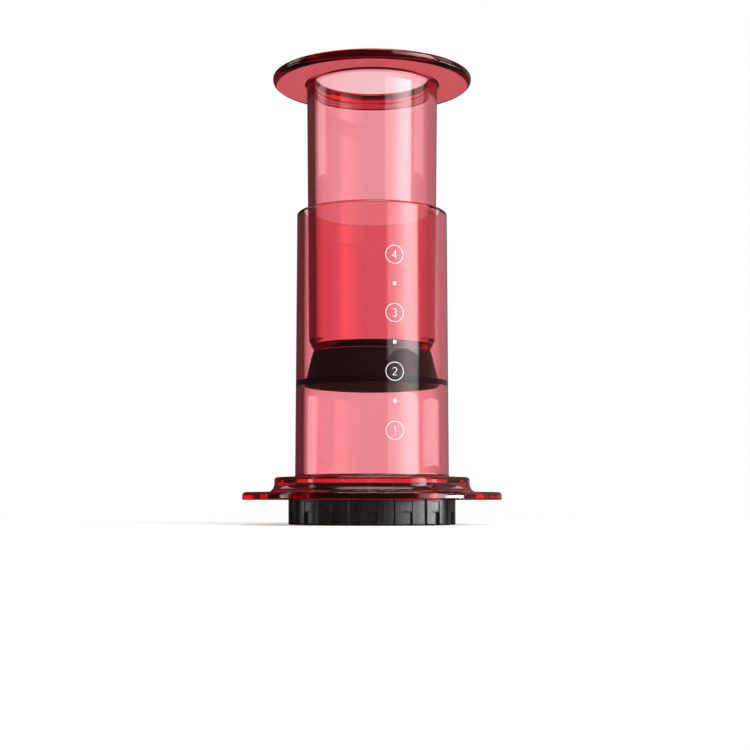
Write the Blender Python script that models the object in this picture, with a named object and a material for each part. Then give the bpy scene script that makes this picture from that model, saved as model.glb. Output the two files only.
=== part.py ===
"""A piston coffee press: a clear chamber and plunger, a rubber seal, a filter cap and its paper.

Metres, +Z up. The press stands on the filter cap, whose underside is at height zero. Every
piece is turned about the Z axis, and the side of the press that faces a viewer is at -Y.
"""

import math

import bmesh
import bpy
import numpy as np

MM = 0.001
TURN = 2 * math.pi
QUARTER = TURN / 4
FRONT = -QUARTER

# Facets around a turned piece, and the facets of one quarter of a rounded edge
FACETS = 60
ROUND_STEPS = 3

# Clearance between pieces that touch on the real press, and how far a cutter runs past its cut
FIT_GAP = 0.3 * MM
OVERRUN = 1.0 * MM

# Filter paper
PAPER_THICKNESS = 0.4 * MM
PAPER_EDGE_GAP = 0.5 * MM

# Chamber: the bore sets the size of all that fits in and around it
BORE_RADIUS = 28.4 * MM
CHAMBER_LENGTH = 126.8 * MM
BARREL_FOOT_WALL = 3.5 * MM
BARREL_RIM_WALL = 3.1 * MM
BARREL_RIM_ROUND = 1.1 * MM
BARREL_FILLET = 0.9 * MM

# Chamber: the neck below the flange, with the lugs that the filter cap hooks over
NECK_WALL = 2.2 * MM
NECK_CHAMFER = 0.5 * MM
LUG_COUNT = 5
LUG_SPAN = math.radians(33)
LUG_LIFT = 4.4 * MM
LUG_HEIGHT = 2.5 * MM
LUG_REACH = 1.6 * MM
LUG_ROOT = 0.8 * MM
STOP_SPAN = math.radians(3)
STOP_INSET = math.radians(1.5)
STOP_REACH = 1.2 * MM

# Chamber: the hexagonal flange that the press stands on, and the raised platform over the cap
FLANGE_LIFT = 6.7 * MM
FLANGE_ACROSS_CORNERS = 107.5 * MM
FLANGE_CORNER_RADIUS = 28.2 * MM
FLANGE_THICKNESS = 3.2 * MM
FLANGE_UPPER_ROUND = 1.4 * MM
FLANGE_LOWER_ROUND = 0.4 * MM
FLARE_WIDTH = 3.0 * MM
FLARE_HEIGHT = 3.8 * MM
PLATFORM_WALL = 1.8 * MM
PLATFORM_CEILING = 2.7 * MM
PLATFORM_ROUND = 1.4 * MM

# Filter cap
CAP_FLOOR = 2.5 * MM
CAP_WALL = 1.2 * MM
CAP_CHAMFER = 0.6 * MM
CAP_SIDE_GAP = 0.7 * MM
CAP_LIP = 0.5 * MM
CAP_HEADROOM = 3.7 * MM
HOOK_STOP_GAP = math.radians(1)
HOOK_HEIGHT = 2.0 * MM
HOOK_ROOT = 0.6 * MM

# Filter cap: the grips around it, each a raised pad with a shallow panel over a notch
GRIP_COUNT = 15
GRIP_DEPTH = 0.9 * MM
PAD_SPAN = math.radians(16.9)
PAD_FACETS = 3
PAD_SLOPE_SPAN = math.radians(0.7)
NOTCH_WIDTH = 4.5 * MM
NOTCH_HEIGHT = 5.2 * MM
NOTCH_DEPTH = 1.2 * MM
PANEL_HEIGHT = 4.0 * MM
PANEL_DEPTH = 0.4 * MM
PANEL_LEDGE = 0.4 * MM

# Filter cap: rings of radial slots through the floor
SLOT_RINGS = 4
SLOT_WIDTH = 1.3 * MM
SLOT_PITCH = 4.1 * MM
SLOT_RIB = 1.4 * MM
SLOT_HUB_RADIUS = 3.6 * MM
SLOT_MARGIN = 1.0 * MM

# Seal
SEAL_HEIGHT = 14.6 * MM
SEAL_BAND = 2.9 * MM
SEAL_TAPER = 3.3 * MM
SEAL_EDGE_ROUND = 0.6 * MM
SEAL_DOME = 0.9 * MM
SEAL_DOME_SHARE = 0.55

# Plunger: a tube that narrows towards its closed foot
PLUNGER_LENGTH = 117.3 * MM
PLUNGER_BORE_GAP = 0.8 * MM
PLUNGER_DRAFT = 1.2 * MM
PLUNGER_WALL = 3.1 * MM
PLUNGER_FLOOR = 2.8 * MM
FOOT_TAPER_WIDTH = 2.2 * MM
FOOT_TAPER_HEIGHT = 4.4 * MM
FLOOR_FILLET = 1.5 * MM

# Plunger: the hand flange, whose edge is rounded more beneath than above
HAND_FLANGE_RADIUS = 42.0 * MM
HAND_FLANGE_THICKNESS = 3.8 * MM
HAND_FLANGE_LOWER_ROUND = 2.2 * MM
HAND_FLANGE_UPPER_ROUND = 1.2 * MM
HAND_FLANGE_FILLET = 1.2 * MM
MOUTH_ROUND = 1.5 * MM

# Plunger: the mushroom post under the foot, which snaps into the seal
POST_NECK_RADIUS = 12.0 * MM
POST_NECK_LENGTH = 5.2 * MM
POST_HEAD_RADIUS = 16.0 * MM
POST_HEAD_HEIGHT = 5.0 * MM
POST_HEAD_ROUND = 1.2 * MM

# How far the seal stands above the paper at rest, half way down its stroke
SEAL_LIFT = 53.6 * MM

# Radii that follow from the bore, from the inside out
neck_radius = BORE_RADIUS + NECK_WALL
lug_radius = neck_radius + LUG_REACH
cap_bore_radius = lug_radius + FIT_GAP
groove_radius = cap_bore_radius + CAP_WALL
pad_radius = groove_radius + GRIP_DEPTH
recess_inradius = pad_radius + CAP_SIDE_GAP
platform_inradius = recess_inradius + PLATFORM_WALL
paper_radius = cap_bore_radius - PAPER_EDGE_GAP
barrel_foot_radius = BORE_RADIUS + BARREL_FOOT_WALL
barrel_rim_radius = BORE_RADIUS + BARREL_RIM_WALL
seal_radius = BORE_RADIUS - FIT_GAP
plunger_rim_radius = BORE_RADIUS - PLUNGER_BORE_GAP
plunger_foot_radius = plunger_rim_radius - PLUNGER_DRAFT

# Heights of the pieces above the ground
paper_base = CAP_FLOOR + FIT_GAP
chamber_base = paper_base + PAPER_THICKNESS + FIT_GAP
seal_base = paper_base + PAPER_THICKNESS + SEAL_LIFT
plunger_base = seal_base + SEAL_HEIGHT + FIT_GAP

# Heights that the cap and the chamber share: the hooks lie on the lugs, under the platform
lug_top = chamber_base + LUG_LIFT + LUG_HEIGHT
hook_base = lug_top + FIT_GAP
hook_top = hook_base + HOOK_HEIGHT
cap_height = hook_top + CAP_LIP
recess_ceiling = cap_height + CAP_HEADROOM
platform_top = recess_ceiling + PLATFORM_CEILING

# The flange and the platform are one hexagon, grown outward by different amounts
core_corner = FLANGE_ACROSS_CORNERS / 2 - FLANGE_CORNER_RADIUS
core_inradius = core_corner * math.cos(TURN / 12)
recess_growth = recess_inradius - core_inradius
platform_growth = platform_inradius - core_inradius

# The stop stands near one end of its lug, and the closed hook lies on the rest of the lug
stop_middle = LUG_SPAN / 2 - STOP_INSET - STOP_SPAN / 2
hook_span = LUG_SPAN - STOP_INSET - STOP_SPAN - HOOK_STOP_GAP
hook_middle = (hook_span - LUG_SPAN) / 2

even_angles = np.arange(FACETS) * TURN / FACETS


def clear_scene():
    """Remove every object, so that the script can be run again."""
    for old in list(bpy.data.objects):
        bpy.data.objects.remove(old, do_unlink=True)


def material(name, colour, roughness, transmission=0.0):
    """A plain plastic, paper or rubber: Principled, no metal."""
    made = bpy.data.materials.new(name)
    made.use_nodes = True
    made.diffuse_color = (*colour, 1)
    surface = made.node_tree.nodes["Principled BSDF"]
    surface.inputs["Base Color"].default_value = (*colour, 1)
    surface.inputs["Roughness"].default_value = roughness
    surface.inputs["Metallic"].default_value = 0
    surface.inputs["Transmission Weight"].default_value = transmission
    return made


def arc(centre_radius, centre_height, size, start, end):
    """Points (radius, height) on a quarter of a rounded edge; angles run from +radius to +height."""
    angles = np.linspace(start, end, ROUND_STEPS + 1)
    return [
        (centre_radius + size * math.cos(a), centre_height + size * math.sin(a)) for a in angles
    ]


def rounded_hexagon(growth):
    """Radii, one per facet, of the core hexagon with corners on +X and -X, grown outward."""
    sixth = TURN / 6
    off_corner = np.abs((even_angles + sixth / 2) % sixth - sixth / 2)
    tangent = math.atan2(
        growth * math.sin(sixth / 2), core_corner + growth * math.cos(sixth / 2)
    )
    on_corner = np.minimum(off_corner, tangent)
    reach = np.sqrt(growth**2 - (core_corner * np.sin(on_corner)) ** 2)
    corner = core_corner * np.cos(on_corner) + reach
    side = (core_inradius + growth) / np.cos(sixth / 2 - off_corner)
    return np.where(off_corner <= tangent, corner, side)


def hexagonal(points):
    """Turn points (growth, height) into rings of the grown hexagon."""
    return [(rounded_hexagon(growth), height) for growth, height in points]


def skin(profile, angles=even_angles, looped=False):
    """Join the rings (radius, height) of a profile into one closed body.

    A ring's radius is a number, or one value for each angle. The profile runs up the outside
    and down the inside. A looped one joins its last ring to its first, as on an open tube;
    otherwise a flat disc closes each end.
    """
    body = bmesh.new()
    loops = []
    for radius, height in profile:
        radii = radius * np.ones(len(angles))
        corners = zip(radii * np.cos(angles), radii * np.sin(angles))
        loops.append([body.verts.new((x, y, height)) for x, y in corners])
    followers = loops[1:] + loops[:1] if looped else loops[1:]
    for lower, upper in zip(loops, followers):
        for i in range(len(angles)):
            j = (i + 1) % len(angles)
            body.faces.new((lower[i], lower[j], upper[j], upper[i]))
    if not looped:
        body.faces.new(reversed(loops[0]))
        body.faces.new(loops[-1])
    return body


def add_prism(body, outline, bottom, top):
    """Add an upright prism over an outline (x, y) that runs anticlockwise."""
    lower = [body.verts.new((x, y, bottom)) for x, y in outline]
    upper = [body.verts.new((x, y, top)) for x, y in outline]
    body.faces.new(reversed(lower))
    body.faces.new(upper)
    for i in range(len(outline)):
        j = (i + 1) % len(outline)
        body.faces.new((lower[i], lower[j], upper[j], upper[i]))


def slice_outline(middle, span, inner, outer):
    """Outline of a slice of a ring, as fine as the turned pieces."""
    steps = max(1, round(span * FACETS / TURN))
    angles = middle + np.linspace(-span / 2, span / 2, steps + 1)
    there = [(outer * math.cos(a), outer * math.sin(a)) for a in angles]
    back = [(inner * math.cos(a), inner * math.sin(a)) for a in reversed(angles)]
    return there + back


def bar_outline(direction, width, inner, outer):
    """Outline of a straight bar that points away from the axis."""
    along = np.array((math.cos(direction), math.sin(direction)))
    across = np.array((-along[1], along[0])) * width / 2
    return [
        inner * along - across,
        outer * along - across,
        outer * along + across,
        inner * along + across,
    ]


def place(name, body, base, look=None, parent=None):
    """Make an object of a body whose points are in world heights, with its origin at base."""
    body.normal_update()
    mesh = bpy.data.meshes.new(name)
    bmesh.ops.translate(body, verts=body.verts, vec=(0, 0, -base))
    body.to_mesh(mesh)
    body.free()
    mesh.shade_smooth()
    mesh.set_sharp_from_angle(angle=math.radians(30))
    made = bpy.data.objects.new(name, mesh)
    bpy.context.scene.collection.objects.link(made)
    made.location = (0, 0, base)
    if look:
        mesh.materials.append(look)
    if parent:
        made.location = (0, 0, base - parent.location.z)
        made.parent = parent
    return made


def combine(host, operation, name, body, base):
    """Join or cut the host with a helper body, by a Boolean that stays on the host."""
    helper = place(name, body, base)
    helper.hide_render = True
    helper.display_type = "WIRE"
    modifier = host.modifiers.new(name, "BOOLEAN")
    modifier.operation = operation
    modifier.solver = "EXACT"
    modifier.object = helper


def flange_underside():
    """From the neck's end up to the recess ceiling, out over the cap, and out to the edge."""
    flange_base = chamber_base + FLANGE_LIFT
    neck = [
        (BORE_RADIUS, chamber_base),
        (neck_radius - NECK_CHAMFER, chamber_base),
        (neck_radius, chamber_base + NECK_CHAMFER),
        (neck_radius, recess_ceiling),
    ]
    recess = hexagonal(
        [
            (recess_growth, recess_ceiling),
            (recess_growth, flange_base),
        ]
    )
    return neck + recess


def flange_edge():
    """Round the edge of the plate, back over its top and up the flare to the platform's top."""
    flange_base = chamber_base + FLANGE_LIFT
    plate_top = flange_base + FLANGE_THICKNESS
    lower_edge = arc(
        FLANGE_CORNER_RADIUS - FLANGE_LOWER_ROUND, flange_base + FLANGE_LOWER_ROUND,
        FLANGE_LOWER_ROUND, -QUARTER, 0,
    )
    upper_edge = arc(
        FLANGE_CORNER_RADIUS - FLANGE_UPPER_ROUND, plate_top - FLANGE_UPPER_ROUND,
        FLANGE_UPPER_ROUND, 0, QUARTER,
    )
    flare = [
        (
            platform_growth + FLARE_WIDTH * (1 - math.sin(a)),
            plate_top + FLARE_HEIGHT * (1 - math.cos(a)),
        )
        for a in np.linspace(0, QUARTER, 2 * ROUND_STEPS + 1)
    ]
    top_edge = arc(
        platform_growth - PLATFORM_ROUND, platform_top - PLATFORM_ROUND, PLATFORM_ROUND, 0, QUARTER
    )
    return hexagonal(lower_edge + upper_edge + flare + top_edge)


def barrel():
    """From the fillet on the platform up the drafted barrel, over the rim and down the bore."""
    rim = chamber_base + CHAMBER_LENGTH
    fillet = arc(
        barrel_foot_radius + BARREL_FILLET, platform_top + BARREL_FILLET, BARREL_FILLET,
        3 * QUARTER, 2 * QUARTER,
    )
    outer_rim = arc(
        barrel_rim_radius - BARREL_RIM_ROUND, rim - BARREL_RIM_ROUND, BARREL_RIM_ROUND, 0, QUARTER
    )
    inner_rim = arc(
        BORE_RADIUS + BARREL_RIM_ROUND, rim - BARREL_RIM_ROUND, BARREL_RIM_ROUND,
        QUARTER, 2 * QUARTER,
    )
    return fillet + outer_rim + inner_rim


def neck_lugs():
    """The bayonet lugs round the neck, each with a stop at one end for the hook."""
    lugs = bmesh.new()
    inner = neck_radius - LUG_ROOT
    base = chamber_base + LUG_LIFT
    for i in range(LUG_COUNT):
        middle = i * TURN / LUG_COUNT + FRONT
        add_prism(lugs, slice_outline(middle, LUG_SPAN, inner, lug_radius), base, lug_top)
    return lugs


def neck_stops():
    """The stop that rises from the closing end of each lug, as tall as the hook beside it."""
    stops = bmesh.new()
    inner = neck_radius - LUG_ROOT
    outer = neck_radius + STOP_REACH
    base = lug_top - LUG_HEIGHT / 2
    for i in range(LUG_COUNT):
        middle = i * TURN / LUG_COUNT + FRONT + stop_middle
        add_prism(stops, slice_outline(middle, STOP_SPAN, inner, outer), base, hook_top)
    return stops


def make_chamber(look):
    """The clear chamber: neck, lugs, hexagonal flange, platform and barrel."""
    profile = flange_underside() + flange_edge() + barrel()
    chamber = place("chamber", skin(profile, looped=True), chamber_base, look)
    combine(chamber, "UNION", "neck_lugs", neck_lugs(), chamber_base)
    combine(chamber, "UNION", "neck_stops", neck_stops(), chamber_base)
    return chamber


def grip_angles():
    """Angles of the cap's outline: the pad of each grip, then the two corners of the groove."""
    pad = np.linspace(-PAD_SPAN / 2, PAD_SPAN / 2, PAD_FACETS + 1)
    groove_start = PAD_SPAN / 2 + PAD_SLOPE_SPAN
    groove = (groove_start, TURN / GRIP_COUNT - groove_start)
    one_grip = np.concatenate((pad, groove))
    return np.concatenate([one_grip + FRONT + i * TURN / GRIP_COUNT for i in range(GRIP_COUNT)])


def grip_radii(inset):
    """Radii of the cap's outline at those angles, drawn in by inset."""
    one_grip = [pad_radius] * (PAD_FACETS + 1) + [groove_radius] * 2
    return np.array(one_grip * GRIP_COUNT) - inset


def cap_profile():
    """Rings of the cap: under the floor, up the grips, down the bore and over the floor."""
    return [
        (grip_radii(CAP_CHAMFER), 0),
        (grip_radii(0), CAP_CHAMFER),
        (grip_radii(0), cap_height - CAP_CHAMFER),
        (grip_radii(CAP_CHAMFER), cap_height),
        (cap_bore_radius, cap_height),
        (cap_bore_radius, CAP_FLOOR),
    ]


def cap_hooks():
    """The hooks inside the cap's mouth, which lie on the neck's lugs when the cap is closed."""
    hooks = bmesh.new()
    inner = neck_radius + FIT_GAP
    outer = cap_bore_radius + HOOK_ROOT
    for i in range(LUG_COUNT):
        middle = i * TURN / LUG_COUNT + FRONT + hook_middle
        add_prism(hooks, slice_outline(middle, hook_span, inner, outer), hook_base, hook_top)
    return hooks


def grip_cuts():
    """The notch at the foot of each grip and the shallow panel above it."""
    cuts = bmesh.new()
    panel_base = NOTCH_HEIGHT + PANEL_LEDGE
    outer = pad_radius + OVERRUN
    for i in range(GRIP_COUNT):
        direction = FRONT + i * TURN / GRIP_COUNT
        notch = bar_outline(direction, NOTCH_WIDTH, pad_radius - NOTCH_DEPTH, outer)
        panel = bar_outline(direction, NOTCH_WIDTH, pad_radius - PANEL_DEPTH, outer)
        add_prism(cuts, notch, -OVERRUN, NOTCH_HEIGHT)
        add_prism(cuts, panel, panel_base, panel_base + PANEL_HEIGHT)
    return cuts


def floor_slots():
    """Rings of radial slots through the floor, more of them in each wider ring."""
    slots = bmesh.new()
    outer_edge = BORE_RADIUS - SLOT_MARGIN
    length = (outer_edge - SLOT_HUB_RADIUS + SLOT_RIB) / SLOT_RINGS - SLOT_RIB
    for ring in range(SLOT_RINGS):
        inner = SLOT_HUB_RADIUS + ring * (length + SLOT_RIB)
        count = round(TURN * (inner + length / 2) / SLOT_PITCH)
        for i in range(count):
            outline = bar_outline(FRONT + i * TURN / count, SLOT_WIDTH, inner, inner + length)
            add_prism(slots, outline, -OVERRUN, CAP_FLOOR + OVERRUN)
    return slots


def make_cap(look):
    """The filter cap: a cup with a slotted floor, grips outside and hooks inside its mouth."""
    cap = place("filter_cap", skin(cap_profile(), grip_angles()), 0, look)
    combine(cap, "UNION", "cap_hooks", cap_hooks(), 0)
    combine(cap, "DIFFERENCE", "grip_cuts", grip_cuts(), 0)
    combine(cap, "DIFFERENCE", "floor_slots", floor_slots(), 0)
    return cap


def make_paper(look, cap):
    """The round filter paper that lies on the cap's floor."""
    profile = [(paper_radius, paper_base), (paper_radius, paper_base + PAPER_THICKNESS)]
    return place("paper_filter", skin(profile), paper_base, look, cap)


def seal_outside():
    """From the domed face out to the band that runs on the bore, then up the cone."""
    seal_top = seal_base + SEAL_HEIGHT
    dome_radius = seal_radius * SEAL_DOME_SHARE
    lower_edge = arc(
        seal_radius - SEAL_EDGE_ROUND, seal_base + SEAL_EDGE_ROUND, SEAL_EDGE_ROUND, -QUARTER, 0
    )
    cone_top = seal_radius - SEAL_TAPER
    return (
        [(dome_radius, seal_base - SEAL_DOME)]
        + lower_edge
        + [
            (seal_radius, seal_base + SEAL_BAND),
            (cone_top, seal_top - SEAL_EDGE_ROUND),
            (cone_top - SEAL_EDGE_ROUND, seal_top),
        ]
    )


def seal_socket():
    """The hollow that snaps over the post: a lip round its neck and room for its head."""
    seal_top = seal_base + SEAL_HEIGHT
    lip_base = plunger_base - POST_NECK_LENGTH + FIT_GAP
    socket_floor = plunger_base - POST_NECK_LENGTH - POST_HEAD_HEIGHT - FIT_GAP
    lip_radius = POST_NECK_RADIUS + FIT_GAP
    socket_radius = POST_HEAD_RADIUS + FIT_GAP
    return [
        (lip_radius, seal_top),
        (lip_radius, lip_base),
        (socket_radius, lip_base),
        (socket_radius, socket_floor),
    ]


def make_seal(look):
    """The rubber seal: a cone with a wiping band, hollow for the plunger's post."""
    return place("plunger_seal", skin(seal_outside() + seal_socket()), seal_base, look)


def plunger_post():
    """The mushroom post, from the middle of its head up to the underside of the foot."""
    head_base = plunger_base - POST_NECK_LENGTH - POST_HEAD_HEIGHT
    shoulder = plunger_base - POST_NECK_LENGTH
    head_edge = arc(
        POST_HEAD_RADIUS - POST_HEAD_ROUND, head_base + POST_HEAD_ROUND, POST_HEAD_ROUND,
        -QUARTER, 0,
    )
    return head_edge + [
        (POST_HEAD_RADIUS, shoulder),
        (POST_NECK_RADIUS, shoulder),
        (POST_NECK_RADIUS, plunger_base),
    ]


def plunger_tube():
    """The tapered foot, the drafted tube and the fillet under the hand flange."""
    plate_base = plunger_base + PLUNGER_LENGTH - HAND_FLANGE_THICKNESS
    return [
        (plunger_foot_radius - FOOT_TAPER_WIDTH, plunger_base),
        (plunger_foot_radius, plunger_base + FOOT_TAPER_HEIGHT),
    ] + arc(
        plunger_rim_radius + HAND_FLANGE_FILLET, plate_base - HAND_FLANGE_FILLET,
        HAND_FLANGE_FILLET, 2 * QUARTER, QUARTER,
    )


def hand_flange():
    """Out under the plate, round its edge and back over its top."""
    plate_top = plunger_base + PLUNGER_LENGTH
    plate_base = plate_top - HAND_FLANGE_THICKNESS
    lower_edge = arc(
        HAND_FLANGE_RADIUS - HAND_FLANGE_LOWER_ROUND, plate_base + HAND_FLANGE_LOWER_ROUND,
        HAND_FLANGE_LOWER_ROUND, -QUARTER, 0,
    )
    upper_edge = arc(
        HAND_FLANGE_RADIUS - HAND_FLANGE_UPPER_ROUND, plate_top - HAND_FLANGE_UPPER_ROUND,
        HAND_FLANGE_UPPER_ROUND, 0, QUARTER,
    )
    return lower_edge + upper_edge


def plunger_bore():
    """Over the rounded mouth, down the bore and round to the closed floor."""
    plate_top = plunger_base + PLUNGER_LENGTH
    mouth_radius = plunger_rim_radius - PLUNGER_WALL
    foot_bore_radius = plunger_foot_radius - PLUNGER_WALL
    floor = plunger_base + PLUNGER_FLOOR
    mouth = arc(
        mouth_radius + MOUTH_ROUND, plate_top - MOUTH_ROUND, MOUTH_ROUND, QUARTER, 2 * QUARTER
    )
    corner = arc(
        foot_bore_radius - FLOOR_FILLET, floor + FLOOR_FILLET, FLOOR_FILLET, 0, -QUARTER
    )
    return mouth + corner


def make_plunger(look, seal):
    """The clear plunger: post, closed foot, tube and hand flange, open at the top."""
    profile = plunger_post() + plunger_tube() + hand_flange() + plunger_bore()
    return place("plunger", skin(profile), plunger_base, look, seal)


def build():
    """Make the five pieces; the cap carries the paper and the seal carries the plunger."""
    clear_scene()
    make_chamber(material("chamber_plastic", (0.72, 0.07, 0.11), 0.05, 0.9))
    cap = make_cap(material("cap_plastic", (0.03, 0.032, 0.034), 0.4))
    make_paper(material("filter_paper", (0.9, 0.88, 0.83), 0.9), cap)
    seal = make_seal(material("seal_rubber", (0.02, 0.018, 0.018), 0.6))
    make_plunger(material("plunger_plastic", (0.72, 0.07, 0.11), 0.05, 0.9), seal)


build()
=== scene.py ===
# %% [markdown]
# # A piston press in clear red plastic
#
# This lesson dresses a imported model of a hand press: a clear chamber that stands on a hexagonal
# flange, a clear plunger with a rubber seal on its foot, and a black filter cap that twists on
# below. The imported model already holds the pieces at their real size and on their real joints.
# It is faceted, though, and clear plastic shows every facet twice: once as an edge and once as
# a kink in whatever is seen through it. So each piece is made again here as a smooth surface,
# in the same place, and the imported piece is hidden.

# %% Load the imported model
import math

import bpy
import numpy as np
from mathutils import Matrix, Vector


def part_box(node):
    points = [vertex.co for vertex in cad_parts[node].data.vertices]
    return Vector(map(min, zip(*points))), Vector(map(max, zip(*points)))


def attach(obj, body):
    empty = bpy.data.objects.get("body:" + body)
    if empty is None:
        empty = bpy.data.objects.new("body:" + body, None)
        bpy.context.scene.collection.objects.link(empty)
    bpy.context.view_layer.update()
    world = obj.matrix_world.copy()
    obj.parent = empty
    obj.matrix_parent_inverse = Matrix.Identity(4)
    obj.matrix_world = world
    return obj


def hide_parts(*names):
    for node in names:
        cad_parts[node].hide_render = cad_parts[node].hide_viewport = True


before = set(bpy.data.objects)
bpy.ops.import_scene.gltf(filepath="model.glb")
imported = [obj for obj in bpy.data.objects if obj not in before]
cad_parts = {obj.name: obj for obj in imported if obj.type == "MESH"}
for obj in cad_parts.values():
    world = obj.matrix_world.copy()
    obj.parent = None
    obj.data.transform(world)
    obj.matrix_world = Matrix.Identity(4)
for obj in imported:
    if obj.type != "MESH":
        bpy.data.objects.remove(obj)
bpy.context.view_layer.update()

chamber_low, chamber_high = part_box("chamber")
plunger_low, plunger_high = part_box("plunger")
seal_low, seal_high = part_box("plunger_seal")
cap_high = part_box("filter_cap")[1]
paper_low, paper_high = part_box("paper_filter")

# %% [markdown]
# ## Sizes
#
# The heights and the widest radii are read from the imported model, so a change of the model
# carries through to here. What a box can't tell, such as the wall of a tube or the rounding of
# an edge, is written as a size in millimetres beside the piece that has it.

# %% Units and the sizes that several pieces share
MM = 0.001
TURN = 2 * math.pi
QUARTER = TURN / 4
FRONT = -QUARTER

FIT_GAP = 0.3 * MM
BORE_RADIUS = 28.4 * MM
NECK_RADIUS = BORE_RADIUS + 2.2 * MM
LUG_REACH = 1.6 * MM
LUG_COUNT = 5
LUG_SPAN = math.radians(33)

chamber_base = chamber_low[2]
chamber_rim = chamber_high[2]
plunger_top = plunger_high[2]
print(f"bore {2 * BORE_RADIUS / MM:.1f} mm, chamber rim at {chamber_rim / MM:.1f} mm")

# %% [markdown]
# ## Angles and rounded corners
#
# A turned piece starts as an outline, a list of radii and heights. Moulded edges are all
# rounded, each by a quarter of a circle. Blender's Bevel modifier could round them
# afterwards, but it would round what has to stay steep as well, such as the ends of a lug.
# So each corner is rounded in the outline, and its kind says which quarter it takes.

# %% Angles and rounded corners
# The first and the last angle of each kind of corner, in the direction of the outline.
LOWER_OUTER, UPPER_OUTER = (-QUARTER, 0), (0, QUARTER)
UPPER_INNER, INNER_FLOOR = (QUARTER, 2 * QUARTER), (0, -QUARTER)
ON_LEDGE, UNDER_LEDGE = (3 * QUARTER, 2 * QUARTER), (2 * QUARTER, QUARTER)


def even_turns(count):
    """That many angles, spread evenly over one turn."""
    return np.arange(count) * TURN / count


def circle(turns):
    """Points (cos t, sin t), one for each angle t."""
    return np.stack((np.cos(turns), np.sin(turns)), axis=-1)


def round_corner(radius, height, size, kind, steps=10):
    """Points (radius, height) = centre + size * (cos t, sin t), for t over the kind's quarter.

    The radius and the height given are those of the sharp corner. The centre lies inside it by
    the size, both ways.
    """
    centre = np.array((radius, height)) - size * np.sign(circle(sum(kind) / 2))
    return centre + size * circle(np.linspace(*kind, steps + 1))


print("a lower edge in three points:", round_corner(1, 0, 1, LOWER_OUTER, 2).round(2).tolist())

# %% [markdown]
# ## Turned surfaces on a grid
#
# Every piece of the press is turned about one axis, or nearly so: the flange is a hexagon with
# very round corners, and the cap has grips. All of them can be written as one grid: a row for
# each point of an outline, and in each row one radius and one height for each angle. That could
# be done with Blender's Screw modifier, but a Screw can't turn a circle into a hexagon half way
# up, and a grid can.
#
# Clear plastic asks for one more thing. A smooth-shaded mesh blends its normals from corner to
# corner, so the tall wall between two rounded edges would bend light like a lens. Each long
# straight stretch of the outline gets a guard row close to either end, and the blending stays
# between the guard and the edge.

# %% Grid helpers
SEGMENTS = 240
GUARD = 0.15 * MM
LONG_STRETCH = 1.0 * MM
SHARP_ANGLE = math.radians(35)
even_angles = even_turns(SEGMENTS)
print(f"facets of the bore are {TURN / SEGMENTS * BORE_RADIUS / MM:.2f} mm wide")


def guarded(rows, looped):
    """Add a row close to both ends of each long straight stretch between two rows."""
    following = np.concatenate((rows[1:], rows[:1])) if looped else rows[1:]
    out = []
    for here, there in zip(rows, following):
        out.append(here)
        length = np.hypot(*(there - here)).max()
        if length > LONG_STRETCH:
            step = (there - here) * GUARD / length
            out.extend((here + step, there - step))
    if not looped:
        out.append(rows[-1])
    return np.array(out)


def quads(lower, upper, closed=True):
    """Faces (lower i, lower i + 1, upper i + 1, upper i) between rows of point numbers.

    A closed row goes on from its last point to its first.
    """
    faces = np.stack((lower, np.roll(lower, -1, -1), np.roll(upper, -1, -1), upper), axis=-1)
    return (faces if closed else faces[..., :-1, :]).reshape(-1, 4).tolist()


def in_scene(name, data):
    """A new object in the scene for a mesh, a lamp or a camera."""
    made = bpy.data.objects.new(name, data)
    bpy.context.scene.collection.objects.link(made)
    return made


def mesh_piece(name, points, faces):
    """A new object whose mesh has those points and faces."""
    mesh = bpy.data.meshes.new(name)
    mesh.from_pydata(points.tolist(), [], faces)
    return in_scene(name, mesh)


def smooth(mesh):
    """Shade a mesh smooth, except across its sharp edges."""
    mesh.shade_smooth()
    mesh.set_sharp_from_angle(angle=SHARP_ANGLE)


def grid_piece(name, outline, angles=even_angles, looped=False, flat_ends=False):
    """One closed mesh from an outline of points (radius, height), carried round the angles.

    A point of the mesh is (radius * cos angle, radius * sin angle, height). A radius or a height
    is one number, or an array with a number for each angle. The outline runs up the outside and
    down the inside. A looped grid joins its last row to its first, as on a tube. Otherwise its
    first and last rows close on the axis with a fan of triangles, or each with one flat face.
    """
    rows = [np.broadcast_arrays(radius, height, angles)[:2] for radius, height in outline]
    radius, height = np.moveaxis(guarded(np.array(rows), looped), 1, 0)
    points = np.stack((radius * np.cos(angles), radius * np.sin(angles), height), axis=-1)
    points = points.reshape(-1, 3)
    index = np.arange(len(points)).reshape(radius.shape)
    faces = quads(index, np.roll(index, -1, 0)) if looped else quads(index[:-1], index[1:])
    first, last = index[0], index[-1]
    if flat_ends:
        faces += [first[::-1].tolist(), last.tolist()]
    elif not looped:
        bottom, top = len(points), len(points) + 1
        points = np.concatenate((points, [(0, 0, height[0, 0]), (0, 0, height[-1, 0])]))
        faces += [(bottom, b, a) for a, b in zip(first.tolist(), np.roll(first, -1).tolist())]
        faces += [(top, a, b) for a, b in zip(last.tolist(), np.roll(last, -1).tolist())]
    piece = mesh_piece(name, points, faces)
    smooth(piece.data)
    print(f"{name}: {len(index)} rows of {len(angles)} points, {len(faces)} faces")
    return piece


# %% [markdown]
# ## Materials from noise
#
# No picture is used for any surface. Every variation comes from noise that is read on the
# piece's own coordinates in metres, so a scale of 3000 gives grains of a third of a millimetre.
# An image texture could do the same, but it would need a UV map and would blur up close.
# Scratches need a trick: where noise passes through its middle value it draws a thin contour
# line, and noise that is drawn out along one axis draws long, nearly straight ones.

# %% Node helpers
FINE_SCALE = 3000
WHITE = (1, 1, 1)
print(f"noise at scale {FINE_SCALE} has grains of {1 / FINE_SCALE / MM:.2f} mm")


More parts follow.
